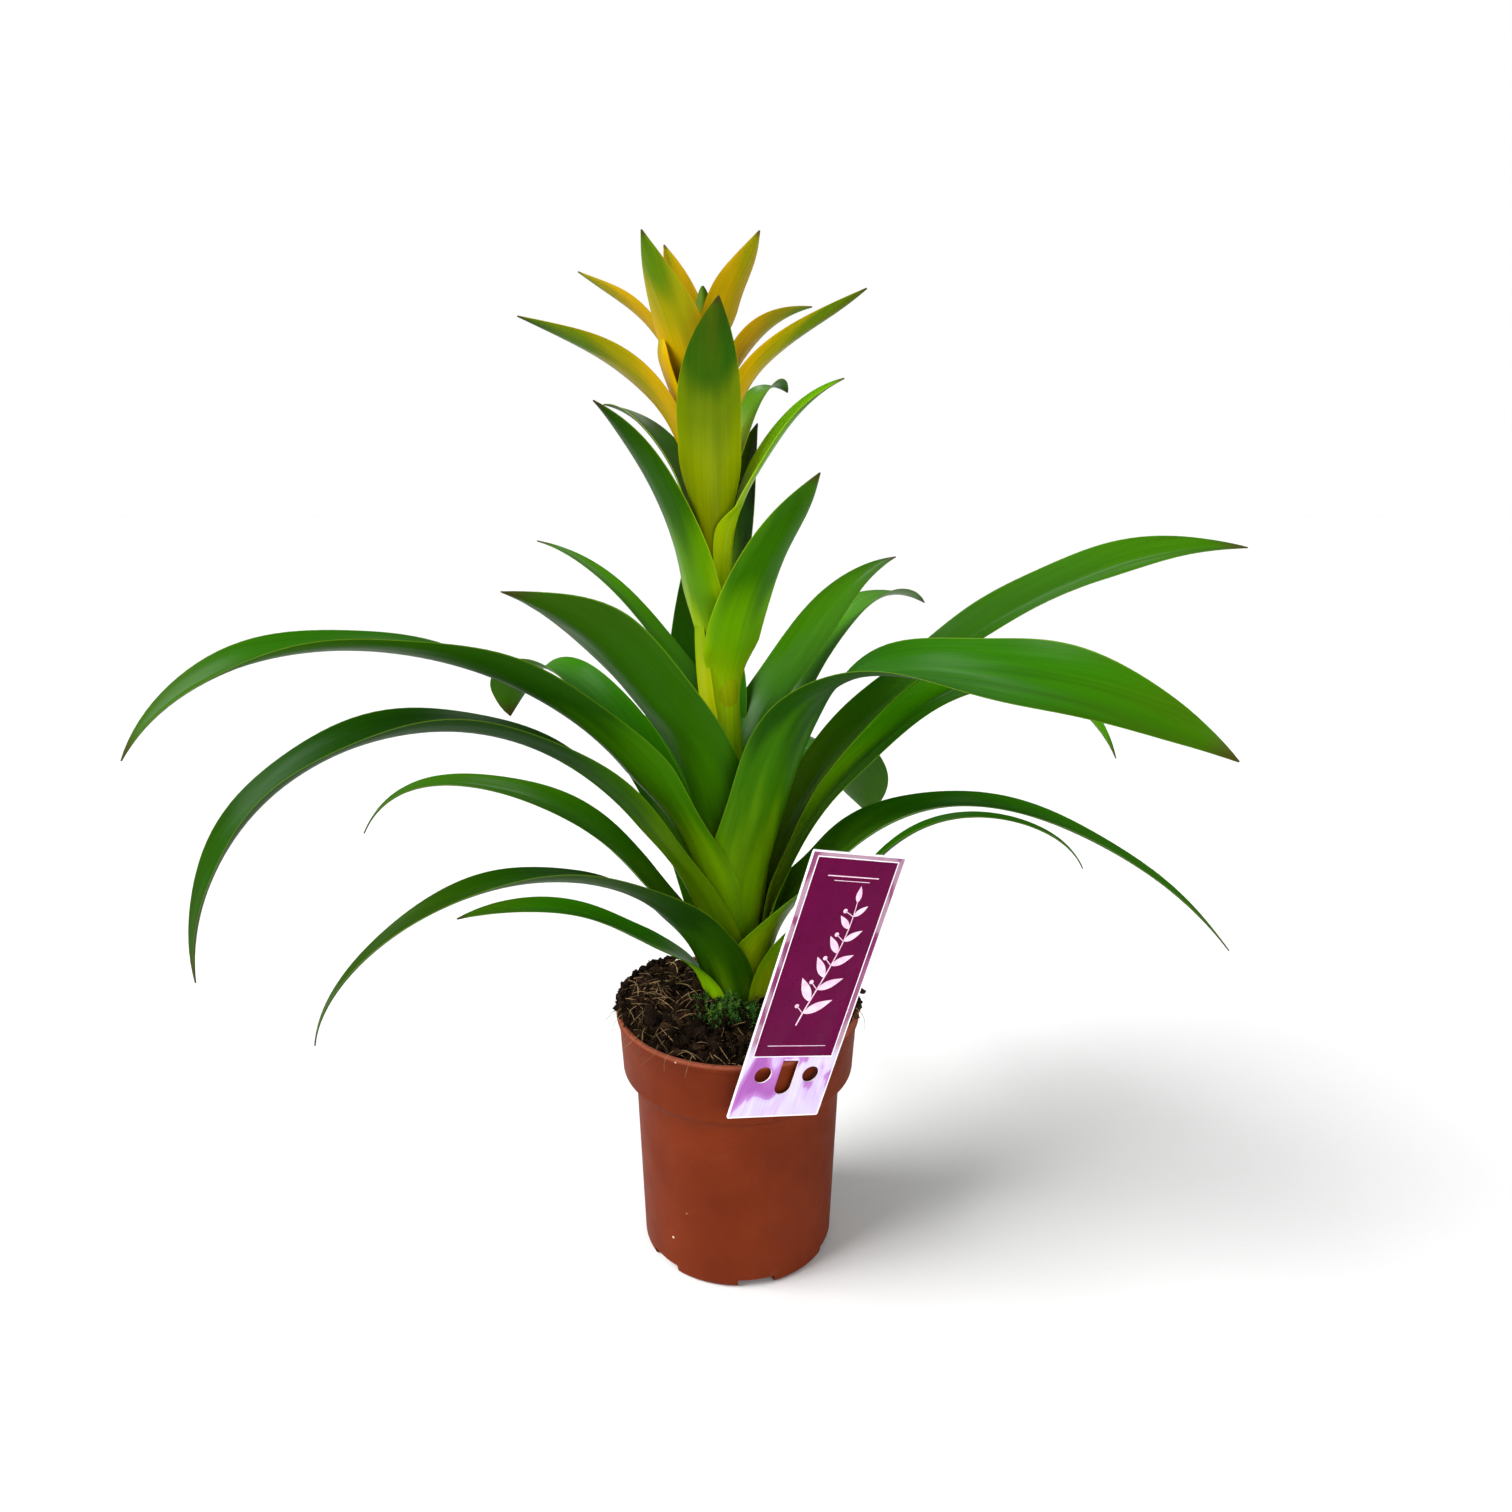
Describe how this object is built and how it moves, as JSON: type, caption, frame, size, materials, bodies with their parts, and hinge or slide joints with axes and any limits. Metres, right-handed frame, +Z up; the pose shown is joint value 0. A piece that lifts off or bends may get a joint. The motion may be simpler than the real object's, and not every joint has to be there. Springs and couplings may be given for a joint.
{
  "type": "potted guzmania",
  "caption": "Potted bromeliad with arching strap leaves, a tall scape of green and yellow bracts, peat, a footed nursery pot and a card label hooked over the rim.",
  "frame": {"origin": "middle of the pot's flat foot, on the surface it stands on", "axes": "+Z up along the pot's axis; -Y is the side with the label; +X is to the right seen from that side"},
  "size_m": [0.4958, 0.3224, 0.4805],
  "materials": {
    "pot_plastic": "terracotta-brown moulded plastic, faintly satin",
    "peat": "moist dark-brown fibrous peat",
    "stem_green": "smooth yellow-green stem, satin",
    "leaf_green": "dark-green leaf, satin gloss, paler at the base",
    "bract_green": "green to yellow-green bract, satin",
    "bract_yellow": "yellow bract with green tip, satin",
    "bud_yellow": "closed flower bud, satin",
    "label_card": "printed plastic card, glossy"
  },
  "bodies": {
    "root": {"pot": "pot_plastic", "potting_soil": "peat", "stem": "stem_green", "flower_bud": "bud_yellow", "leaf_left_lowest": "leaf_green", "leaf_right_lowest": "leaf_green", "leaf_back_lowest": "leaf_green", "leaf_front_left_low": "leaf_green", "leaf_back_right_low": "leaf_green", "leaf_right_low": "leaf_green", "leaf_back_left_low": "leaf_green", "leaf_left_low": "leaf_green", "leaf_back_right_mid": "leaf_green", "leaf_right_mid": "leaf_green", "leaf_left_long": "leaf_green", "leaf_right_high": "leaf_green", "leaf_left_high": "leaf_green", "leaf_back_right_high": "leaf_green", "leaf_left_folded": "leaf_green", "leaf_right_folded": "leaf_green", "leaf_left_top": "leaf_green", "leaf_right_top": "leaf_green", "leaf_back_left_top": "leaf_green", "leaf_back_upright": "leaf_green", "bract_front_right": "bract_green", "bract_left_small": "bract_green", "bract_front_left": "bract_green", "bract_back_right": "bract_green", "bract_right_slim": "bract_green", "bract_back_left": "bract_green", "bract_front_tall": "bract_green", "head_bract_left": "bract_yellow", "bract_back_curled": "bract_green", "head_bract_short_back": "bract_yellow", "head_bract_right": "bract_yellow", "head_bract_upper_left": "bract_yellow", "head_bract_slim_right": "bract_yellow", "head_bract_slim_left": "bract_yellow", "head_bract_upper_right": "bract_yellow", "head_bract_upper_back": "bract_yellow", "plant_label": "label_card"}
  },
  "joints": []
}
